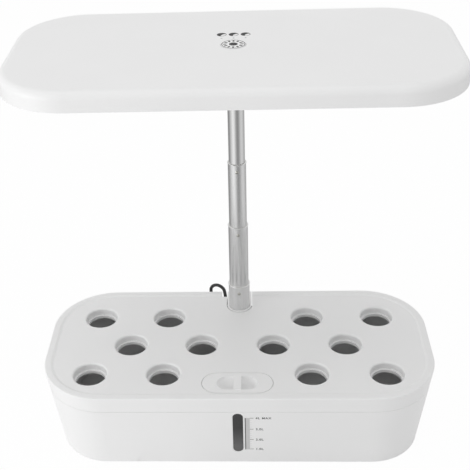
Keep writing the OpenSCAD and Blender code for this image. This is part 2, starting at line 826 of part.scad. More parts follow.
module scoop(grow) {
    r = scoop_w/2 + grow;
    up = scoop_depth > scoop_w/2 ? 0 : scoop_w/2 - scoop_depth;
    translate([0, cap_y, deck_z + up]) {
        rotate([0, 90, 0]) cylinder(r = r, h = scoop_l - scoop_w, center = true);
        for (s = [-1, 1]) translate([s*(scoop_l - scoop_w)/2, 0, 0]) sphere(r);
    }
}

module filler_cap() color("white") {
    difference() {
        union() {
            translate([0, 0, deck_z - cap_t]) linear_extrude(cap_t) cap_outline(0);
            translate([0, 0, deck_z - cap_t - cap_skirt]) linear_extrude(cap_skirt + cap_t/2)
                cap_outline(-cap_ledge);
            intersection() {
                scoop(cap_wall);
                translate([-body_w, -base_d, 0]) cube([2*body_w, 2*base_d, deck_z]);
            }
        }
        difference() {
            translate([0, 0, deck_z - cap_t - cap_skirt - over]) linear_extrude(cap_skirt + over)
                cap_outline(-cap_ledge - cap_wall);
            scoop(cap_wall);
        }
        scoop(0);
    }
    // the grip across the scoop
    intersection() {
        union() {
            scoop(cap_wall/3);
            translate([0, cap_y, deck_z]) linear_extrude(over)
                square([grip_w, scoop_w], center = true);
        }
        translate([0, cap_y, deck_z - scoop_depth - over])
            linear_extrude(scoop_depth + over + grip_rise)
            square([grip_w, scoop_w], center = true);
    }
}

module cap_seal() color("gainsboro") translate([0, 0, deck_z - cap_t - seal_drop])
    linear_extrude(seal_t) difference() {
        cap_outline(-cap_ledge + lift_gap - loose);
        cap_outline(-cap_ledge + slip);
    }

// ---- lamp ----

module lamp_section(inset, below = 0) {
    r = lamp_round - inset;
    top = lamp_top - inset;
    foot = lamp_z - below;
    translate([0, foot]) square([lamp_corner - inset, lamp_top - lamp_round - foot]);
    translate([0, foot]) square([lamp_corner - lamp_round, top - foot]);
    translate([lamp_corner - lamp_round, lamp_top - lamp_round]) circle(r);
}

module at_cover_screws() {
    for (sx = [-1, 1], sy = [-1, 1]) {
        translate([sx*(body_w/2 - cover_end_x), sy*(lamp_d/2 - cover_end_y), 0]) children();
        translate([sx*cover_side_x, sy*(lamp_d/2 - cover_side_y), 0]) children();
    }
}

module at_board_screws() {
    for (k = [-1:2/3:1], s = [-1, 1])
        translate([k*(board_w/2 - board_screw_in), s*(board_d/2 - board_screw_in), 0]) children();
}

// The four corners of a plate, in from its edges
module at_corners(x, y, w, d) {
    for (sx = [-1, 1], sy = [-1, 1])
        translate([x + sx*(w/2 - small_screw_in), y + sy*(d/2 - small_screw_in), 0]) children();
}

module at_control_screws() { at_corners(button_x, control_y, control_w, control_d) children(); }
module at_head_screws() { at_corners(mast_x, mast_y, head_flange_w, head_flange_d) children(); }

module at_lights() {
    for (k = [-1:1]) translate([button_x + k*light_pitch, button_y + light_row, 0]) children();
}

// A stud from level z up to the roof, the pilot hole in it, and a screw whose head lies under z
module stud(z) { translate([0, 0, z]) cylinder(r = stud_r, h = lamp_top - lamp_wall/2 - z); }
module pilot(z) { translate([0, 0, z - over]) cylinder(r = fine_screw_r + run, h = roof_z - z); }
module fine_screw(z, l) {
    translate([0, 0, z - fine_head_h]) {
        cylinder(r = fine_head_r, h = fine_head_h);
        cylinder(r = fine_screw_r, h = fine_head_h + l);
    }
}

module lamp_housing() color("white") difference() {
    union() {
        difference() {
            union() {
                swept(lamp_ax, lamp_ay) lamp_section(0);
                core(lamp_ax, lamp_ay, lamp_z, lamp_top);
            }
            swept(lamp_ax, lamp_ay) lamp_section(lamp_wall, over);
            core(lamp_ax, lamp_ay, lamp_z - over, roof_z);
        }
        at_cover_screws() stud(cover_z + cover_t);
        at_board_screws() stud(board_z + board_t);
        at_control_screws() stud(control_top);
    }
    at_cover_screws() pilot(cover_z + cover_t);
    at_board_screws() pilot(board_z + board_t);
    at_control_screws() pilot(control_top);
    translate([button_x, button_y, roof_z - over]) cylinder(r = button_r + lift_gap, h = far);
    at_lights() translate([0, 0, roof_z - over]) cylinder(r = light_r + slip, h = far);
    at_head_screws() translate([0, 0, roof_z - over])
        cylinder(r = fine_screw_r + run, h = over + head_bite + 2*loose);
}

module mast_head() color("white") difference() {
    union() {
        translate([mast_x, mast_y, roof_z - head_flange_t]) linear_extrude(head_flange_t)
            rounded_square(head_flange_w, head_flange_d, head_corner);
        translate([mast_x, mast_y, lamp_z + head_up])
            cylinder(r = head_r, h = roof_z - head_flange_t/2 - lamp_z - head_up);
    }
    translate([mast_x, mast_y, 0]) cylinder(r = stage_r(4) + slip, h = roof_z - head_flange_t);
    at_head_screws() cylinder(r = fine_screw_r + loose, h = far);
}

module head_screws() color("silver") at_head_screws()
    fine_screw(roof_z - head_flange_t, head_flange_t + head_bite);

module lamp_cover() color("whitesmoke") difference() {
    union() {
        swept(lamp_ax, lamp_ay) translate([0, cover_z])
            square([lamp_corner - lamp_wall - lift_gap, cover_t]);
        core(lamp_ax, lamp_ay, cover_z, cover_z + cover_t);
    }
    translate([mast_x, mast_y, 0]) cylinder(r = head_r + lift_gap, h = far);
    at_cover_screws() cylinder(r = fine_screw_r + 2*loose, h = far);
}

module cover_screws() color("silver") at_cover_screws() fine_screw(cover_z, cover_t + cover_bite);

module led_board() color("white") difference() {
    translate([0, 0, board_z]) linear_extrude(board_t)
        rounded_square(board_w, board_d, board_corner);
    translate([mast_x, mast_y, 0]) cylinder(r = head_r + 2*lift_gap, h = far);
    at_board_screws() cylinder(r = fine_screw_r + loose, h = far);
}

module leds() color("khaki")
    for (i = [-led_nx:led_nx], j = [-led_ny:led_ny])
        if (norm([i*led_pitch - mast_x, j*led_pitch - mast_y]) > head_r + led_clear)
            translate([i*led_pitch, j*led_pitch, board_z - led_t/2])
                cube([led_w, led_w, led_t], center = true);

module board_screws() color("silver") {
    at_board_screws() fine_screw(board_z, board_t + board_bite);
    at_control_screws() fine_screw(control_z, board_t + control_bite);
}

module control_board() color("darkgreen") difference() {
    translate([button_x, control_y, control_z]) linear_extrude(board_t)
        rounded_square(control_w, control_d, control_corner);
    at_control_screws() cylinder(r = fine_screw_r + loose, h = far);
}

// ---- button and lights ----

module switch_dome() color("silver") translate([button_x, button_y, control_top])
    cylinder(r = dome_r, h = dome_h);

module mode_button() color("white") translate([button_x, button_y, 0]) {
    translate([0, 0, button_flange_z]) {
        cylinder(r = button_r, h = lamp_top + button_proud - button_flange_z);
        cylinder(r = button_r + button_flange, h = button_flange_t);
    }
    translate([0, 0, control_top + dome_h + button_travel + loose])
        cylinder(r = stem_r, h = button_flange_z - control_top - dome_h - button_travel);
}

module button_dome() color("gainsboro") translate([button_x, button_y, control_top])
    ring(sleeve_out, sleeve_in, button_flange_z - control_top);

module indicator_lights() color("gainsboro") at_lights() translate([0, 0, control_top])
    cylinder(r = light_r, h = lamp_top - control_top);

base_shell();
inner_tank();
level_window();
window_gasket();
rubber_feet();
mast_socket();
socket_screws();
mast_tube_1();
guide_bush_1();
bush_rivet_1();
pump_body();
pump_cover();
pump_impeller();
pump_shaft();
pump_feet();
pump_lead();
cord_gland();
power_cord();
cord_coil();
cord_tie();
power_adapter();
adapter_relief();
adapter_pins();
deck();
filler_cap();
cap_seal();
mast_tube_2();
slide_foot_2();
guide_bush_2();
bush_rivet_2();
mast_tube_3();
slide_foot_3();
guide_bush_3();
bush_rivet_3();
mast_tube_4();
slide_foot_4();
mast_head();
head_screws();
lamp_housing();
lamp_cover();
cover_screws();
led_board();
leds();
board_screws();
control_board();
switch_dome();
mode_button();
button_dome();
indicator_lights();
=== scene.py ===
import math

import bpy
import numpy as np
from mathutils import Matrix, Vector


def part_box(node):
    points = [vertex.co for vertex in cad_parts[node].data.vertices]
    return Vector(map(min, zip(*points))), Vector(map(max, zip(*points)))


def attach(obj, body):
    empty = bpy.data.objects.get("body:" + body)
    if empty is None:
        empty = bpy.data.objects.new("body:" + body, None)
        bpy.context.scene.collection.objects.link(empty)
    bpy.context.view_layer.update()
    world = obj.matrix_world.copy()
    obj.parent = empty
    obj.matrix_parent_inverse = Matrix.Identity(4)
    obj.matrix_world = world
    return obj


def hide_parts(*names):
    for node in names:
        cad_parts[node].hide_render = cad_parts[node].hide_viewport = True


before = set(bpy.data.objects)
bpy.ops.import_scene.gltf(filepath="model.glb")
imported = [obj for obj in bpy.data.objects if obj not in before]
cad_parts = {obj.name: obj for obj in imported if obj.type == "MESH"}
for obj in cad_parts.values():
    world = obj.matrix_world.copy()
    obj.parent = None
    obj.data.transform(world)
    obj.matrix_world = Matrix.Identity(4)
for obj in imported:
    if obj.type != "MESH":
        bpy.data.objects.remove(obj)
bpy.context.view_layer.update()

bl_info = {
    "name": "Hydroponic Garden Dressing",
    "version": (1, 0, 0),
    "blender": (4, 5, 0),
    "location": "3D View > Sidebar > Garden",
    "description": "Finishes, printed marks, power lead and studio for a countertop hydroponic garden",
    "category": "Object",
}

# a millimetre in Blender's metres
MM = 0.001


# ---- places read from the frame ----

def low(node):
    """The lowest corner of a CAD node, as an array in metres."""
    return np.array(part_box(node)[0])


def high(node):
    """The highest corner of a CAD node, as an array in metres."""
    return np.array(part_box(node)[1])


def middle(node):
    """The middle of a CAD node's box."""
    return (low(node) + high(node)) / 2


LAMP_TOP = high("lamp_housing")[2]
BUTTON = middle("mode_button")
BUTTON_TOP = high("mode_button")[2]
LIGHTS = middle("indicator_lights")
COIL = middle("cord_coil")
MAST = middle("mast_tube_1")
RIM_FRONT = low("base_shell")[1]
RIM_TOP = high("base_shell")[2]
DIODE_Z = low("leds")[2]
# the front wall comes forward by 11.7 mm over its 95 mm of height
WALL_LEAN = 11.7 / 95.0


# ---- colour and nodes ----

def linear(code):
    """An sRGB hex code as linear red, green, blue and alpha."""
    steps = [int(code[i:i + 2], 16) / 255 for i in (1, 3, 5)]
    return tuple(c / 12.92 if c <= 0.04045 else ((c + 0.055) / 1.055) ** 2.4 for c in steps) + (1.0,)


def add(tree, kind, inputs=(), **settings):
    """Adds one node, with its settings, and its inputs as values or as links from other sockets."""
    made = tree.nodes.new(kind)
    for key, value in settings.items():
        setattr(made, key, value)
    for key, value in dict(inputs).items():
        if isinstance(value, bpy.types.NodeSocket):
            tree.links.new(value, made.inputs[key])
        else:
            made.inputs[key].default_value = value
    return made


def blank(name):
    """An empty material, its node tree, its surface shader and its output."""
    material = bpy.data.materials.new(name)
    material.use_nodes = True
    tree = material.node_tree
    tree.nodes.clear()
    shader = add(tree, "ShaderNodeBsdfPrincipled")
    output = add(tree, "ShaderNodeOutputMaterial", {"Surface": shader.outputs[0]})
    return material, tree, shader, output


def spread(tree, value, centre, width):
    """Turns a 0 to 1 value into one that lies within half the width around the centre."""
    return add(tree, "ShaderNodeMapRange", {
        "Value": value, "To Min": centre - width / 2, "To Max": centre + width / 2}).outputs[0]


def grain(tree, size, detail=2.0, stretch=(1, 1, 1)):
    """Noise whose blobs are about size metres across, on the piece's own coordinates."""
    place = add(tree, "ShaderNodeTexCoord")
    stretched = add(tree, "ShaderNodeMapping", {"Vector": place.outputs["Object"], "Scale": stretch})
    return add(tree, "ShaderNodeTexNoise", {
        "Vector": stretched.outputs[0], "Scale": 1 / size, "Detail": detail}).outputs["Fac"]


def shade_between(tree, value, dark, light):
    """Mixes two hex colours by a 0 to 1 value."""
    mix = add(tree, "ShaderNodeMix", {0: value, 6: linear(dark), 7: linear(light)}, data_type="RGBA")
    return mix.outputs[2]


def feed(tree, shader, **links):
    """Links sockets into the shader's inputs. A name's underscore stands for a space."""
    for key, value in links.items():
        tree.links.new(value, shader.inputs[key.replace("_", " ").title()])


def bumped(tree, shader, height, depth):
    """Raises the shader's surface by a height map that is depth metres deep."""
    bump = add(tree, "ShaderNodeBump", {"Height": height, "Distance": depth, "Strength": 1.0})
    tree.links.new(bump.outputs[0], shader.inputs["Normal"])


# ---- materials ----

def moulded_white(name, dark, light, roughness):
    """Injection moulded ABS: a fine spark-eroded grain that softens its shine, with faint flow marks."""
    material, tree, shader, _ = blank(name)
    flow = grain(tree, 60 * MM, 1.0)
    feed(tree, shader, base_color=shade_between(tree, flow, dark, light))
    # the real grain is about 0.1 mm; it is drawn at 0.5 mm so that it shows
    fine = grain(tree, 0.5 * MM, 3.0)
    feed(tree, shader, roughness=spread(tree, fine, roughness, 0.08))
    bumped(tree, shader, fine, 0.006 * MM)
    shader.inputs["IOR"].default_value = 1.53
    return material


def polypropylene(name):
    """Unpainted moulded polypropylene: off-white and waxy, with a soft broad shine."""
    material, tree, shader, _ = blank(name)
    feed(tree, shader, base_color=shade_between(tree, grain(tree, 25 * MM), "#F2F2F2", "#F8F8F8"))
    fine = grain(tree, 0.8 * MM)
    feed(tree, shader, roughness=spread(tree, fine, 0.5, 0.12))
    bumped(tree, shader, fine, 0.01 * MM)
    shader.inputs["IOR"].default_value = 1.49
    return material


def smoked_pane(name):
    """Polished smoked polycarbonate in front of the tank: glossy, with a painted reflection that makes it
    paler towards its foot.
    """
    reflection_pale_below, reflection_dark_above = 26 * MM, 52 * MM
    material, tree, shader, _ = blank(name)
    place = add(tree, "ShaderNodeTexCoord")
    height = add(tree, "ShaderNodeSeparateXYZ", {0: place.outputs["Object"]}).outputs["Z"]
    # painted reflection: by height on the pane, the colour runs from dark grey higher up to paler grey near
    # the foot
    rise = add(tree, "ShaderNodeMapRange", {
        "Value": height, "From Min": reflection_pale_below, "From Max": reflection_dark_above}).outputs[0]
    feed(tree, shader, base_color=shade_between(tree, rise, "#5E5E5E", "#333333"))
    feed(tree, shader, roughness=spread(tree, grain(tree, 6 * MM), 0.16, 0.05))
    shader.inputs["IOR"].default_value = 1.58
    return material


def soft_rubber(name, code, roughness=0.7):
    """Moulded rubber: nearly matt, with a faint dark grey bloom."""
    material, tree, shader, _ = blank(name)
    bloom = grain(tree, 3 * MM, 4.0)
    feed(tree, shader, base_color=shade_between(tree, bloom, code, "#3A3A3A"))
    feed(tree, shader, roughness=spread(tree, bloom, roughness, 0.2))
    bumped(tree, shader, grain(tree, 0.4 * MM), 0.02 * MM)
    shader.inputs["IOR"].default_value = 1.52
    return material


def drawn_tube(name, code, roughness):
    """Drawn stainless tube: bright metal with fine lines along its length."""
    material, tree, shader, _ = blank(name)
    # lines 0.25 mm wide and 40 mm long, as the drawing die leaves them
    lines = grain(tree, 0.25 * MM, 3.0, (1, 1, 0.00625))
    feed(tree, shader, base_color=shade_between(tree, lines, code, "#E2E2E2"))
    feed(tree, shader, roughness=spread(tree, lines, roughness, 0.12))
    bumped(tree, shader, lines, 0.002 * MM)
    shader.inputs["Metallic"].default_value = 1.0
    return material


def plated_metal(name, code="#B8B8B4"):
    """Zinc or nickel plated small hardware: bright, with a slightly cloudy plating."""
    material, tree, shader, _ = blank(name)
    cloud = grain(tree, 1.2 * MM, 3.0)
    feed(tree, shader, base_color=shade_between(tree, cloud, code, "#D2D1CC"))
    feed(tree, shader, roughness=spread(tree, cloud, 0.3, 0.15))
    shader.inputs["Metallic"].default_value = 1.0
    return material


def plain_plastic(name, dark, light, roughness=0.45, size=4.0):
    """Moulded plastic and the like, of one colour, with a grain size in millimetres."""
    material, tree, shader, _ = blank(name)
    fine = grain(tree, size * MM, 3.0)
    feed(tree, shader, base_color=shade_between(tree, fine, dark, light))
    feed(tree, shader, roughness=spread(tree, fine, roughness, 0.1))
    bumped(tree, shader, grain(tree, 0.6 * MM), 0.012 * MM)
    return material


def cable_jacket(name):
    """Soft black PVC cable jacket: a low shine, with slight handling marks."""
    material, tree, shader, _ = blank(name)
    marks = grain(tree, 5 * MM, 4.0)
    feed(tree, shader, base_color=shade_between(tree, marks, "#161616", "#242424"))
    feed(tree, shader, roughness=spread(tree, marks, 0.42, 0.14))
    bumped(tree, shader, grain(tree, 0.5 * MM), 0.01 * MM)
    return material


def frosted_sheet(name):
    """Frosted polycarbonate diffuser: milky, and clear enough to show the diodes as soft spots."""
    material, tree, shader, _ = blank(name)
    fine = grain(tree, 0.6 * MM, 3.0)
    feed(tree, shader, base_color=shade_between(tree, fine, "#EDEDEA", "#F8F8F6"))
    feed(tree, shader, roughness=spread(tree, fine, 0.3, 0.08))
    bumped(tree, shader, fine, 0.008 * MM)
    shader.inputs["Transmission Weight"].default_value = 0.55
    # far under the plastic's 1.58, because a thin sheet hardly bends what is seen through it
    shader.inputs["IOR"].default_value = 1.2
    return material


def circuit_board(name, dark, light):
    """Solder resist over copper: the tracks show as slightly lighter straight fields."""
    material, tree, shader, _ = blank(name)
    place = add(tree, "ShaderNodeTexCoord")
    tracks = add(tree, "ShaderNodeTexBrick", {
        "Vector": place.outputs["Object"], "Scale": 1 / (9 * MM), "Mortar Size": 0.06,
        "Color1": linear(light), "Color2": linear(light), "Mortar": linear(dark)})
    feed(tree, shader, base_color=tracks.outputs["Color"])
    feed(tree, shader, roughness=spread(tree, grain(tree, 2 * MM), 0.35, 0.1))
    bumped(tree, shader, tracks.outputs["Fac"], 0.03 * MM)
    return material


def phosphor(name):
    """Silicone with yellow phosphor over a diode chip, with a wet gloss."""
    material, tree, shader, _ = blank(name)
    speck = grain(tree, 0.5 * MM)
    feed(tree, shader, base_color=shade_between(tree, speck, "#D9B233", "#EBCB5A"))
    feed(tree, shader, roughness=spread(tree, speck, 0.2, 0.08))
    return material


def printed_ink(name, dark, light):
    """Pad printed ink: flat and matt, with slightly uneven cover."""
    material, tree, shader, _ = blank(name)
    cover = grain(tree, 0.7 * MM, 3.0)
    feed(tree, shader, base_color=shade_between(tree, cover, dark, light))
    feed(tree, shader, roughness=spread(tree, cover, 0.6, 0.1))
    return material


def clear_pipe(name):
    """Clear acrylic light guide, unlit: grey from the dark inside it, with a polished face."""
    material, tree, shader, _ = blank(name)
    feed(tree, shader, base_color=shade_between(tree, grain(tree, 1 * MM), "#B4B6B8", "#C4C6C8"))
    feed(tree, shader, roughness=spread(tree, grain(tree, 0.5 * MM), 0.12, 0.05))
    shader.inputs["IOR"].default_value = 1.49
    return material


def paint(material, *nodes):
    """Gives a material to CAD nodes."""
    for name in nodes:
        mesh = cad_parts[name].data
        mesh.materials.clear()
        mesh.materials.append(material)


# ---- making meshes ----

def piece(name, points, faces, body, material, smooth=False):
    """A mesh piece from points and faces, which rides on a body."""
    mesh = bpy.data.meshes.new(name)
    mesh.from_pydata(np.asarray(points).tolist(), [], faces)
    mesh.validate()
    mesh.polygons.foreach_set("use_smooth", np.full(len(mesh.polygons), smooth))
    mesh.materials.append(material)
    made = bpy.data.objects.new(name, mesh)
    bpy.context.scene.collection.objects.link(made)
    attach(made, body)
    return made


def closed_grid(rows, columns):
    """Faces over a grid of points that was stored row by row, each row a closed ring: quads between the
    neighbours, and one face over the first ring and one over the last."""
    i = np.arange(rows - 1)[:, None] * columns
    j = np.arange(columns)[None, :]
    after = (j + 1) % columns
    quads = np.stack([i + j, i + after, i + columns + after, i + columns + j], -1).reshape(-1, 4).tolist()
    first = list(range(columns))[::-1]
    last = [(rows - 1) * columns + k for k in range(columns)]
    return quads + [first, last]


def plates(outlines, thick):
    """Thin closed plates, one for each outline: its points at height thick, the same points at height 0, and
    walls between them."""
    points, faces, start = [], [], 0
    for outline in outlines:
        n = len(outline)
        points.append(np.column_stack([outline, np.full(n, thick)]))
        points.append(np.column_stack([outline, np.zeros(n)]))
        ring = np.arange(n)
        faces.append((start + ring).tolist())
        faces.append((start + n + ring[::-1]).tolist())
        after = (ring + 1) % n
        walls = np.stack([start + ring, start + n + ring, start + n + after, start + after], -1)
        faces.extend(walls.tolist())
        start += 2 * n
    return np.concatenate(points), faces


def bar(x0, x1, y0, y1):
    """A rectangle's outline, counter-clockwise."""
    return np.array([(x0, y0), (x1, y0), (x1, y1), (x0, y1)])


def arc(x, y, radius, start, end, count):
    """Points on a circle's arc from a start to an end angle in degrees: the centre, plus the radius times
    the angle's cosine across and its sine up."""
    turn = np.radians(np.linspace(start, end, count))
    return np.column_stack([x + radius * np.cos(turn), y + radius * np.sin(turn)])


def band_arc(x, y, inner, outer, start, end, count):
    """A bent band: the outer arc there, and the inner arc back."""
    return np.concatenate([arc(x, y, outer, start, end, count), arc(x, y, inner, end, start, count)])


def turned(points, degrees):
    """Flat points turned about the origin, counter-clockwise."""
    turn = math.radians(degrees)
    return points @ np.array([[math.cos(turn), math.sin(turn)], [-math.sin(turn), math.cos(turn)]])


def crescent(x, y, radius, reach, heading):
    """A moon: a circle's arc between its two horns, closed by the arc through both horns of a second circle,
    whose centre lies reach away along the heading."""
    horn, count = 62, 28
    outer = arc(0, 0, radius, horn, 360 - horn, count)
    aside, up = outer[0, 0] - reach, outer[0, 1]
    half = np.degrees(np.arctan2(up, aside))
    inner = arc(reach, 0, np.hypot(aside, up), 360 - half, half, count)
    return turned(np.concatenate([outer, inner[1:-1]]), heading) + (x, y)


def on_wall(points):
    """Carries plate points onto the leaning front wall: x goes across it, y up it from the table and z out
    of it, so y and z share out to depth and height by the sine and cosine of the wall's lean."""
    lean = math.atan(WALL_LEAN)
    foot = RIM_FRONT + RIM_TOP * WALL_LEAN
    x, up, out = points.T
    return np.column_stack([
        x, foot - up * math.sin(lean) - out * math.cos(lean), up * math.cos(lean) - out * math.sin(lean)])


def words(text, tall, gap, bold):
    """Flat lettering as points and faces, from a text curve that is made a mesh before it is placed. Its
    capitals have the height tall, gap stretches the space between letters, and bold moves each stroke's
    edge out."""
    size_per_capital = 1.38
    curve = bpy.data.curves.new("words", "FONT")
    curve.body = text
    curve.size = tall * size_per_capital
    curve.space_character = gap
    curve.offset = bold
    curve.resolution_u = 3
    maker = bpy.data.objects.new("words", curve)
    mesh = bpy.data.meshes.new_from_object(maker)
    points = np.empty(len(mesh.vertices) * 3)
    mesh.vertices.foreach_get("co", points)
    faces = [list(p.vertices) for p in mesh.polygons]
    bpy.data.objects.remove(maker)
    bpy.data.curves.remove(curve)
    bpy.data.meshes.remove(mesh)
    return points.reshape(-1, 3), faces


def placed(x_axis, y_axis, z_axis, spot):
    """A placing matrix from its three axes and its origin."""
    return Matrix([(x_axis[i], y_axis[i], z_axis[i], spot[i]) for i in range(3)] + [(0, 0, 0, 1)])


# ---- settings ----

class GardenSizes(bpy.types.PropertyGroup):
    """Sizes that a user may change."""

    lead_diameter: bpy.props.FloatProperty(
        name="Lead diameter", description="Diameter of the power lead's jacket",
        default=3.7 * MM, min=2 * MM, max=6 * MM, unit="LENGTH")
    ink_height: bpy.props.FloatProperty(
        name="Ink height", description="How far printed ink stands proud of the plastic",
        default=0.04 * MM, min=0.01 * MM, max=0.2 * MM, unit="LENGTH")
    letter_height: bpy.props.FloatProperty(
        name="Letter height", description="Height of the scale's figures",
        default=2.6 * MM, min=1.5 * MM, max=5 * MM, unit="LENGTH")
    sun_radius: bpy.props.FloatProperty(
        name="Sun radius", description="Radius of the sun mark's disc on the button",
        default=3.8 * MM, min=2 * MM, max=5 * MM, unit="LENGTH")


class GardenLight(bpy.types.PropertyGroup):
    """Light and background of the studio."""

    key_power: bpy.props.FloatProperty(
        name="Key light", description="Power of the soft lamp at the left",
        default=3.03, min=0, max=200, unit="POWER")
    top_power: bpy.props.FloatProperty(
        name="Top light", description="Power of the larger lamp overhead",
        default=3.8, min=0, max=200, unit="POWER")
    ambient: bpy.props.FloatProperty(
        name="Surroundings", description="Brightness of the room around the object",
        default=0.73, min=0, max=2)
    floor_color: bpy.props.FloatVectorProperty(
        name="Floor", description="Colour of the floor", subtype="COLOR", size=4, min=0, max=1,
        default=linear("#F4F4F4"))


# ---- camera ----

class GARDEN_OT_camera(bpy.types.Operator):
    """Places the camera in front of the garden and above it, looking down"""

    bl_idname = "garden.camera"
    bl_label = "Camera"

    def execute(self, context):
        spot = (0.01494, -0.80178, 0.71124)
        tilt, yaw, roll = math.radians(31.155), math.radians(3.601), math.radians(-2.5)
        focal_px, frame_px = 956.9, 470.0
        centre_px = (199.3, 234.91)
        ahead = np.array([-math.sin(yaw) * math.cos(tilt), math.cos(yaw) * math.cos(tilt), -math.sin(tilt)])
        level = np.array([math.cos(yaw), math.sin(yaw), 0.0])
        right = level * math.cos(roll) + np.cross(level, ahead) * math.sin(roll)
        up = np.cross(right, ahead)
        data = bpy.data.cameras.new("camera")
        data.sensor_width = 36.0
        data.lens = focal_px * data.sensor_width / frame_px
        data.shift_x = (frame_px / 2 - centre_px[0]) / frame_px
        data.shift_y = (centre_px[1] - frame_px / 2) / frame_px
        data.clip_end = 100.0
        camera = bpy.data.objects.new("camera", data)
        camera.matrix_world = placed(right, up, -ahead, spot)
        context.scene.collection.objects.link(camera)
        context.scene.camera = camera
        return {"FINISHED"}


# ---- power lead ----

# The lead's free stretches in millimetres: from the gland to the coil, and from the coil to the adapter,
# where the last two points run on inside the strain relief
LEAD_OUT = np.array([
    (-14.1, 86.4, 84), (-14.1, 86.4, 84.7), (-14.1, 86.4, 85.4), (-14.15, 86.66, 87.38),
    (-14.33, 87.46, 89.41), (-14.6, 88.76, 91.16), (-14.96, 90.47, 92.49), (-15.36, 92.34, 93.57),
    (-15.89, 94.18, 94.64), (-16.92, 95.8, 95.72), (-18.39, 97.02, 96.79), (-20.15, 97.79, 97.84),
    (-22.13, 98.49, 98.48), (-24.2, 99.22, 98.54), (-26.21, 99.93, 98.03), (-28.03, 100.57, 96.97),
    (-29.52, 101.1, 95.45), (-30.58, 101.47, 93.57), (-31.14, 101.67, 91.46), (-31.3, 102.3, 86),
    (-31.9, 103.1, 77), (-32.5, 104.3, 64), (-33.2, 105.4, 50), (-34.6, 106.2, 34), (-35.6, 107.6, 20),
    (-36.2, 110.6, 10), (-36.6, 116, 4.2), (-36.7, 122, 2.7), (-36.7, 128, 2.65)])
LEAD_IN = np.array([
    (-10.8, 157.9, 10.05), (-3.8, 157.6, 9.7), (3.2, 156.2, 8.9), (9.7, 153, 8.1),
    (15.2, 148, 8), (19.7, 142.4, 9.6), (23.7, 138, 12.4), (27.2, 136.2, 13.8),
    (29.2, 136, 14), (30.2, 136, 14), (31.2, 136, 14), (34.2, 136, 14), (37.2, 136, 14)])


def smooth_route(points, steps):
    """Points on the curve through a route: a cubic between neighbours, with each point's tangent half the
    way from the point before it to the point after it."""
    ends = np.concatenate([points[:1], points, points[-1:]])
    before, a, b, after = ends[:-3], ends[1:-2], ends[2:-1], ends[3:]
    m, n = (b - before) / 2, (after - a) / 2
    t = (np.arange(steps) / steps)[None, :, None]
    curve = ((2 * t**3 - 3 * t**2 + 1) * a[:, None] + (t**3 - 2 * t**2 + t) * m[:, None]
             + (3 * t**2 - 2 * t**3) * b[:, None] + (t**3 - t**2) * n[:, None])
    return np.concatenate([curve.reshape(-1, 3), points[-1:]])


def ease(value, start, end):
    """0 before the start, 1 after the end, and a smooth step between."""
    t = np.clip((value - start) / (end - start), 0, 1)
    return t * t * (3 - 2 * t)


def shifts(turn, starts):
    """How many of the shifts are made by each turn angle in degrees: each one eases in over an eighth of a
    turn from its start."""
    return sum(ease(turn, start, start + 45) for start in starts)


def coil_route(middle_r, step, centre, foot):
    """Six and a quarter turns wound clockwise, at most three beside each other and three layers high. The
    radius and the height change only in their own parts of a turn, so no turn crosses another. The point at
    each turn angle is the centre plus the radius times its cosine and sine. Everything is in millimetres."""
    # degrees in all, and from point to point
    whole, apart = 2250, 6.0
    turn = np.arange(apart, whole - apart, apart)
    radius = middle_r + step * (1 - shifts(turn, (300, 660)) + shifts(turn, (1280, 1640)))
    height = foot + step * shifts(turn, (970, 1950))
    angle = np.radians(180 - turn)
    return np.column_stack([
        centre[0] + radius * np.cos(angle), centre[1] + radius * np.sin(angle), height])


def between(coil, first, last):
    """The coil's points that lie past the end of the stretch before it and short of the one after it. Only
    the points near each end are tested."""
    near, space = 20, 2.0
    keep = np.ones(len(coil), bool)
    keep[:near] = coil[:near, 1] > first[1] + space
    keep[-near:] = coil[-near:, 0] < last[0] - space
    return coil[keep]


class GARDEN_OT_power_lead(bpy.types.Operator):
    """Makes the power lead: out of the gland, down behind the base, wound in a coil and into the adapter"""

    bl_idname = "garden.power_lead"
    bl_label = "Power lead"

    def execute(self, context):
        thick = context.scene.garden_sizes.lead_diameter
        coil_r = (high("cord_coil")[0] - low("cord_coil")[0]) / 2
        start, end = smooth_route(LEAD_OUT, steps=6), smooth_route(LEAD_IN, steps=6)
        coil = coil_route((coil_r - 1.5 * thick) / MM, thick / MM, COIL / MM, LEAD_OUT[-1, 2])
        line = np.concatenate([start, between(coil, start[-1], end[0]), end]) * MM
        curve = bpy.data.curves.new("power_lead", "CURVE")
        curve.dimensions = "3D"
        curve.bevel_depth = thick / 2
        curve.bevel_resolution = 3
        curve.use_fill_caps = True
        spline = curve.splines.new("POLY")
        spline.points.add(len(line) - 1)
        spline.points.foreach_set("co", np.column_stack([line, np.ones(len(line))]).ravel())
        curve.materials.append(cable_jacket("pvc_cable_jacket"))
        lead = bpy.data.objects.new("power_lead", curve)
        context.scene.collection.objects.link(lead)
        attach(lead, "base")
        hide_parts("power_cord", "cord_coil")
        return {"FINISHED"}


# ---- finishes ----

class GARDEN_OT_housings(bpy.types.Operator):
    """Finishes the white housings, the tank, the level window and the rubber parts"""

    bl_idname = "garden.housings"
    bl_label = "Housings"

    def execute(self, context):
        white = moulded_white("moulded_white_abs", "#EEEEEE", "#F1F1F1", 0.42)
        paint(white, "base_shell", "mast_socket", "deck", "filler_cap", "lamp_housing", "mast_head")
        paint(moulded_white("polished_white_abs", "#EEEEEE", "#F1F1F1", 0.3), "mode_button")
        paint(polypropylene("off_white_polypropylene"), "inner_tank")
        paint(smoked_pane("smoked_polycarbonate"), "level_window")
        paint(soft_rubber("moulded_black_rubber", "#1E1E1E"), "window_gasket", "rubber_feet", "cord_gland")
        paint(soft_rubber("grey_silicone_seal", "#8A8A8A", 0.5), "cap_seal")
        return {"FINISHED"}


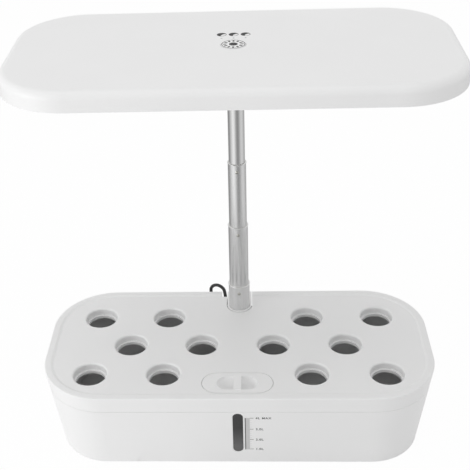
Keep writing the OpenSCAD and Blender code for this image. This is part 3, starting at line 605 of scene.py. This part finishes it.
class GARDEN_OT_mast(bpy.types.Operator):
    """Finishes the mast's tubes, guides and rivets, and all the screws and the switch dome"""

    bl_idname = "garden.mast"
    bl_label = "Mast"

    def execute(self, context):
        paint(drawn_tube("drawn_stainless_tube", "#D6D6D6", 0.29), "mast_tube_1", "mast_tube_2")
        paint(drawn_tube("bright_drawn_stainless_tube", "#D0D0D0", 0.26), "mast_tube_3")
        paint(drawn_tube("polished_stainless_tube", "#C6C6C6", 0.13), "mast_tube_4")
        paint(plain_plastic("natural_acetal", "#E6E5E0", "#EFEEEA", 0.35), "guide_bush_1", "guide_bush_2",
              "guide_bush_3", "slide_foot_2", "slide_foot_3", "slide_foot_4")
        # painted shade: the rivets' plated steel is made much darker than the screws', to stand for the
        # shade around their small domes
        paint(plated_metal("nickel_plated_steel_with_painted_shade", "#77776F"), "bush_rivet_1", "bush_rivet_2", "bush_rivet_3")
        paint(plated_metal("zinc_plated_steel", "#A9A9A2"), "socket_screws", "head_screws", "cover_screws",
              "board_screws", "switch_dome")
        return {"FINISHED"}


class GARDEN_OT_pump(bpy.types.Operator):
    """Finishes the circulation pump in the tank"""

    bl_idname = "garden.pump"
    bl_label = "Pump"

    def execute(self, context):
        paint(plain_plastic("moulded_black_abs", "#1B1B1D", "#232325", 0.5), "pump_body", "pump_cover")
        paint(plain_plastic("moulded_white_nylon", "#DCDCD8", "#E6E6E2", 0.4), "pump_impeller")
        paint(plain_plastic("ground_alumina", "#E8E5DC", "#F0EEE6", 0.25, 0.8), "pump_shaft")
        paint(soft_rubber("suction_cup_rubber", "#262626", 0.55), "pump_feet")
        paint(cable_jacket("pvc_lead_jacket"), "pump_lead")
        return {"FINISHED"}


class GARDEN_OT_adapter(bpy.types.Operator):
    """Makes the wall adapter's moulded case, and finishes its pins, its strain relief and the lead's tie"""

    bl_idname = "garden.adapter"
    bl_label = "Wall adapter"

    def execute(self, context):
        half = (high("power_adapter") - low("power_adapter")) / 2
        points, faces = adapter_case(middle("power_adapter"), half, 4 * MM)
        plastic = plain_plastic("textured_black_polycarbonate", "#151515", "#1F1F1F", 0.5, 1.2)
        case = piece("adapter_case", points, faces, "base", plastic, smooth=True)
        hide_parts("power_adapter")
        paint(cable_jacket("strain_relief_pvc"), "adapter_relief")
        paint(plated_metal("nickel_plated_brass", "#BDBAB0"), "adapter_pins")
        paint(plain_plastic("woven_nylon_strap", "#202020", "#303030", 0.8, 0.7), "cord_tie")
        return {"FINISHED"}


def adapter_case(centre, half, corner):
    """A case with rounded ends: a rounded rectangle's outline in Y and Z, carried along X. It draws in by a
    quarter circle at each end, and by a fine groove where its two halves meet."""
    groove_x, groove_depth = -0.4 * half[0], 0.4 * MM
    quarter = np.linspace(0, math.pi / 2, 7)
    rounding, drawn_in = corner * (1 - np.cos(quarter)), corner * (1 - np.sin(quarter))
    along = np.concatenate([
        rounding - half[0], groove_x + np.array([-0.5, -0.35, 0.35, 0.5]) * MM, half[0] - rounding[::-1]])
    inset = np.concatenate([drawn_in, np.array([0, 1, 1, 0]) * groove_depth, drawn_in[::-1]])[:, None]
    # half a step off the axes, where a sign would be 0
    turn = np.radians(np.arange(0, 360, 5) + 2.5)
    side, rise = np.sign(np.cos(turn)), np.sign(np.sin(turn))
    y = side * (half[1] - corner) + np.cos(turn) * corner - side * inset
    z = rise * (half[2] - corner) + np.sin(turn) * corner - rise * inset
    x = np.repeat(along[:, None], len(turn), 1)
    return np.stack([x, y, z], -1).reshape(-1, 3) + centre, closed_grid(len(along), len(turn))


class GARDEN_OT_lamp(bpy.types.Operator):
    """Finishes the light board, its cover and the controls, and adds the diodes' phosphor domes"""

    bl_idname = "garden.lamp"
    bl_label = "Lamp"

    def execute(self, context):
        paint(frosted_sheet("frosted_polycarbonate"), "lamp_cover")
        paint(circuit_board("white_light_board", "#E4E4E2", "#F0F0EE"), "led_board")
        paint(circuit_board("green_control_board", "#0E3B1E", "#16532B"), "control_board")
        paint(plain_plastic("diode_package_ppa", "#E9E7DE", "#F2F0E8", 0.5), "leds")
        paint(clear_pipe("clear_acrylic"), "indicator_lights")
        paint(soft_rubber("translucent_silicone", "#B9B9B9", 0.4), "button_dome")
        points, faces = phosphor_domes()
        piece("diode_domes", points, faces, "lamp", phosphor("yellow_phosphor"), smooth=True)
        return {"FINISHED"}


def phosphor_domes():
    """One shallow dome under each diode, from its rim nearly to its pole: rings of a circle whose radius
    falls as a cosine while its depth grows as a sine. The diodes stand on a square grid, so each corner of
    the CAD node's blocks, rounded to the grid, gives its diode's place."""
    pitch = 20 * MM
    rings, sides, radius, depth, clear = 4, 12, 1.8 * MM, 0.45 * MM, 0.02 * MM
    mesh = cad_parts["leds"].data
    corners = np.empty(len(mesh.vertices) * 3)
    mesh.vertices.foreach_get("co", corners)
    places = np.unique(np.round(corners.reshape(-1, 3)[:, :2] / pitch).astype(int), axis=0) * pitch
    fall = np.linspace(0, math.pi / 2 * 0.94, rings)[:, None]
    turn = (np.arange(sides) * 2 * math.pi / sides)[None, ::-1]
    x = radius * np.cos(fall) * np.cos(turn)
    y = radius * np.cos(fall) * np.sin(turn)
    z = np.repeat(DIODE_Z + clear - depth * np.sin(fall), sides, 1)
    dome = np.stack([x, y, z], -1).reshape(-1, 3)
    points = (dome[None] + np.column_stack([places, np.zeros(len(places))])[:, None]).reshape(-1, 3)
    pattern = closed_grid(rings, sides)
    return points, [[k + i * len(dome) for k in face] for i in range(len(places)) for face in pattern]


# ---- printed marks ----

class GARDEN_OT_level_scale(bpy.types.Operator):
    """Prints the litre scale beside the level window"""

    bl_idname = "garden.level_scale"
    bl_label = "Level scale"

    def execute(self, context):
        sizes = context.scene.garden_sizes
        # how far up the wall each litre's mark stands, and where each column of print starts and ends
        levels = np.array([21.4, 36.0, 51.7, 68.1]) * MM
        line_x, band_x, tick_x = 6.9 * MM, 7.9 * MM, 11.8 * MM
        step_end, tick_end, figure_x = 13.6 * MM, 15.5 * MM, 17.6 * MM
        half_step, half_tick, stroke = 0.15 * MM, 0.3 * MM, 0.09 * MM
        foot, head = levels[0] - 0.7 * MM, levels[-1] + half_tick
        steps = (levels[:-1, None] + np.diff(levels)[:, None] * np.array([0.2, 0.4, 0.6, 0.8])).ravel()
        dark = printed_ink("dark_grey_ink", "#5E5E5E", "#686868")
        pale = printed_ink("pale_grey_ink", "#C6C6C6", "#CECECE")
        black = printed_ink("black_ink", "#2A2A2A", "#383838")
        for name, ink, outlines in (
                ("scale_line", dark, [bar(line_x, band_x, foot, head)]),
                ("scale_band", pale, [bar(band_x, tick_x, foot, head)]),
                ("scale_ticks", dark, [bar(tick_x, tick_end, z - half_tick, z + half_tick) for z in levels]),
                ("scale_steps", pale, [bar(tick_x, step_end, z - half_step, z + half_step) for z in steps])):
            points, faces = plates(outlines, sizes.ink_height)
            piece(name, on_wall(points), faces, "base", ink)
        figures = (("4L MAX", 1.08, 1.22), ("3.0L", 1.16, 1.12), ("2.0L", 1.16, 1.12), ("1.0L", 1.16, 1.12))
        for z, (text, size, gap) in zip(levels[::-1], figures):
            tall = sizes.letter_height * size
            points, faces = words(text, tall, gap, stroke)
            points = points + (figure_x, z - tall / 2, sizes.ink_height)
            piece("scale_figure_" + text[0], on_wall(points), faces, "base", black)
        return {"FINISHED"}


class GARDEN_OT_lamp_marks(bpy.types.Operator):
    """Prints the sun on the button and the three timer moons behind it"""

    bl_idname = "garden.lamp_marks"
    bl_label = "Lamp marks"

    def execute(self, context):
        sizes = context.scene.garden_sizes
        x, y = BUTTON[0], BUTTON[1]
        black = printed_ink("icon_black_ink", "#202020", "#2C2C2C")
        grey = printed_ink("icon_grey_ink", "#747474", "#808080")
        ray = bar(6.1 * MM, 9.1 * MM, -0.9 * MM, 0.72 * MM)
        sun = [arc(x, y, sizes.sun_radius, 0, 357, 48)]
        sun += [turned(ray, 30 * k) + (x, y) for k in range(12)]
        # a black ring from 9.9 to 10.5 mm out from the button's middle, near its edge
        sun.append(band_arc(x, y, 9.9 * MM, 10.5 * MM, 0, 359.9, 90))
        points, faces = plates(sun, sizes.ink_height)
        piece("sun_mark", points + (0, 0, BUTTON_TOP), faces, "button", black)
        apart, behind, moon_r, ring_w = 10.7 * MM, 9.4 * MM, 4.4 * MM, 0.6 * MM
        spots = [(LIGHTS[0] + k * apart, LIGHTS[1] + behind) for k in (-1, 0, 1)]
        moons = [crescent(*spot, moon_r, reach=6.0 * MM, heading=-38) for spot in spots]
        rings = [band_arc(*spot, moon_r - ring_w, moon_r, -100, 24, 20) for spot in spots]
        for name, outlines, ink in (("timer_moons", moons, black), ("timer_rings", rings, grey)):
            points, faces = plates(outlines, sizes.ink_height)
            piece(name, points + (0, 0, LAMP_TOP), faces, "lamp", ink)
        return {"FINISHED"}


# ---- studio ----

def softbox(name, power, size, spot, aim):
    """A square lamp at a spot, facing an aim."""
    data = bpy.data.lights.new(name, "AREA")
    data.energy = power
    data.size = size
    lamp = bpy.data.objects.new(name, data)
    away = np.array(spot, float) - np.array(aim, float)
    away /= np.linalg.norm(away)
    side = np.cross((0.0, 0.0, 1.0), away) if abs(away[2]) < 0.99 else np.array((1.0, 0.0, 0.0))
    side /= np.linalg.norm(side)
    up = np.cross(away, side)
    lamp.matrix_world = placed(side, up, away, spot)
    bpy.context.scene.collection.objects.link(lamp)


def seen(tree):
    """1 where the camera looks, straight, by a reflection or through glass, and 0 for the light that
    falls on things."""
    path = add(tree, "ShaderNodeLightPath")
    mirrored = add(tree, "ShaderNodeMath", {
        0: path.outputs["Is Camera Ray"], 1: path.outputs["Is Glossy Ray"]}, operation="MAXIMUM")
    return add(tree, "ShaderNodeMath", {
        0: mirrored.outputs[0], 1: path.outputs["Is Transmission Ray"]}, operation="MAXIMUM").outputs[0]


class GARDEN_OT_studio(bpy.types.Operator):
    """Lays the pale floor and sets up the white surroundings and the soft lamps"""

    bl_idname = "garden.studio"
    bl_label = "Studio"

    def execute(self, context):
        light = context.scene.garden_light
        half = 6.0
        mesh = bpy.data.meshes.new("floor")
        mesh.from_pydata([(-half, -half, 0), (half, -half, 0), (half, half, 0), (-half, half, 0)],
                         [], [(0, 1, 2, 3)])
        mesh.materials.append(self.floor_paint(light.floor_color))
        floor = bpy.data.objects.new("floor", mesh)
        context.scene.collection.objects.link(floor)
        softbox("key_light", light.key_power, size=0.6, spot=(-0.95, -0.62, 0.42), aim=(0.1, -0.1, 0.25))
        softbox("top_light", light.top_power, size=1.4, spot=(-0.15, -0.2, 1.9), aim=(0, 0, 0.3))
        world = bpy.data.worlds.new("white_room")
        world.use_nodes = True
        tree = world.node_tree
        tree.nodes.clear()
        level = add(tree, "ShaderNodeMapRange", {
            "Value": seen(tree), "To Min": light.ambient, "To Max": 1.0})
        room = add(tree, "ShaderNodeBackground", {
            "Color": linear("#FFFFFF"), "Strength": level.outputs[0]})
        add(tree, "ShaderNodeOutputWorld", {"Surface": room.outputs[0]})
        context.scene.world = world
        context.scene.view_settings.view_transform = "Standard"
        return {"FINISHED"}

    def floor_paint(self, color):
        """Matt pale floor: plain white where it is seen, with a trace of the shadow. In the tubes' shine it
        shows the light and dark screens of a studio: greys by the heading from the mast, in degrees."""
        screens = ((-180, 0.3), (-112, 0.3), (-72, 0.72), (-42, 1.0), (-22, 0.78), (-5, 0.46), (15, 0.26),
                   (38, 0.4), (60, 0.66), (80, 0.74), (118, 0.5), (180, 0.3))
        seen_share, shine_strength = 0.97, 1.25
        material, tree, shader, output = blank("matt_pale_floor")
        shader.inputs["Base Color"].default_value = color
        shader.inputs["Roughness"].default_value = 0.9
        place = add(tree, "ShaderNodeTexCoord")
        spot = add(tree, "ShaderNodeSeparateXYZ", {0: place.outputs["Object"]})
        aside = add(tree, "ShaderNodeMath", {0: spot.outputs["X"], 1: MAST[0]}, operation="SUBTRACT")
        ahead = add(tree, "ShaderNodeMath", {0: MAST[1], 1: spot.outputs["Y"]}, operation="SUBTRACT")
        heading = add(tree, "ShaderNodeMath", {
            0: aside.outputs[0], 1: ahead.outputs[0]}, operation="ARCTAN2")
        turn = add(tree, "ShaderNodeMapRange", {
            "Value": heading.outputs[0], "From Min": -math.pi, "From Max": math.pi})
        grey = add(tree, "ShaderNodeValToRGB", {"Fac": turn.outputs[0]})
        stops = grey.color_ramp.elements
        while len(stops) < len(screens):
            stops.new(0.5)
        # each stop is at its place before one gets its grey
        for stop, (degrees, _) in zip(stops, screens):
            stop.position = (degrees + 180) / 360
        for stop, (_, level) in zip(stops, screens):
            stop.color = (level, level, level, 1.0)
        shining = add(tree, "ShaderNodeLightPath").outputs["Is Glossy Ray"]
        shine = add(tree, "ShaderNodeMix", {
            0: shining, 6: linear("#FFFFFF"), 7: grey.outputs[0]}, data_type="RGBA")
        strength = add(tree, "ShaderNodeMapRange", {
            "Value": shining, "To Min": 1.0, "To Max": shine_strength})
        glow = add(tree, "ShaderNodeEmission", {
            "Color": shine.outputs[2], "Strength": strength.outputs[0]})
        share = add(tree, "ShaderNodeMath", {0: seen(tree), 1: seen_share}, operation="MULTIPLY")
        mix = add(tree, "ShaderNodeMixShader", {
            0: share.outputs[0], 1: shader.outputs[0], 2: glow.outputs[0]})
        tree.links.new(mix.outputs[0], output.inputs["Surface"])
        return material


# ---- add-on ----

STEPS = (
    GARDEN_OT_camera, GARDEN_OT_adapter, GARDEN_OT_power_lead, GARDEN_OT_housings, GARDEN_OT_mast,
    GARDEN_OT_pump, GARDEN_OT_lamp, GARDEN_OT_level_scale, GARDEN_OT_lamp_marks, GARDEN_OT_studio)


class GARDEN_PT_panel(bpy.types.Panel):
    """Lists the steps that dress the garden, with their settings"""

    bl_label = "Hydroponic garden"
    bl_idname = "GARDEN_PT_panel"
    bl_space_type = "VIEW_3D"
    bl_region_type = "UI"
    bl_category = "Garden"

    def draw(self, context):
        for group in (context.scene.garden_sizes, context.scene.garden_light):
            for key in type(group).__annotations__:
                self.layout.prop(group, key)
        for step in STEPS:
            self.layout.operator(step.bl_idname)


CLASSES = (GardenSizes, GardenLight, *STEPS, GARDEN_PT_panel)


def register():
    """Adds the classes and the settings to Blender."""
    for made in CLASSES:
        bpy.utils.register_class(made)
    bpy.types.Scene.garden_sizes = bpy.props.PointerProperty(type=GardenSizes)
    bpy.types.Scene.garden_light = bpy.props.PointerProperty(type=GardenLight)


def unregister():
    """Takes them out again."""
    del bpy.types.Scene.garden_light
    del bpy.types.Scene.garden_sizes
    for made in reversed(CLASSES):
        bpy.utils.unregister_class(made)


def main():
    register()
    for step in STEPS:
        group, name = step.bl_idname.split(".")
        getattr(getattr(bpy.ops, group), name)()


if __name__ == "__main__":
    main()
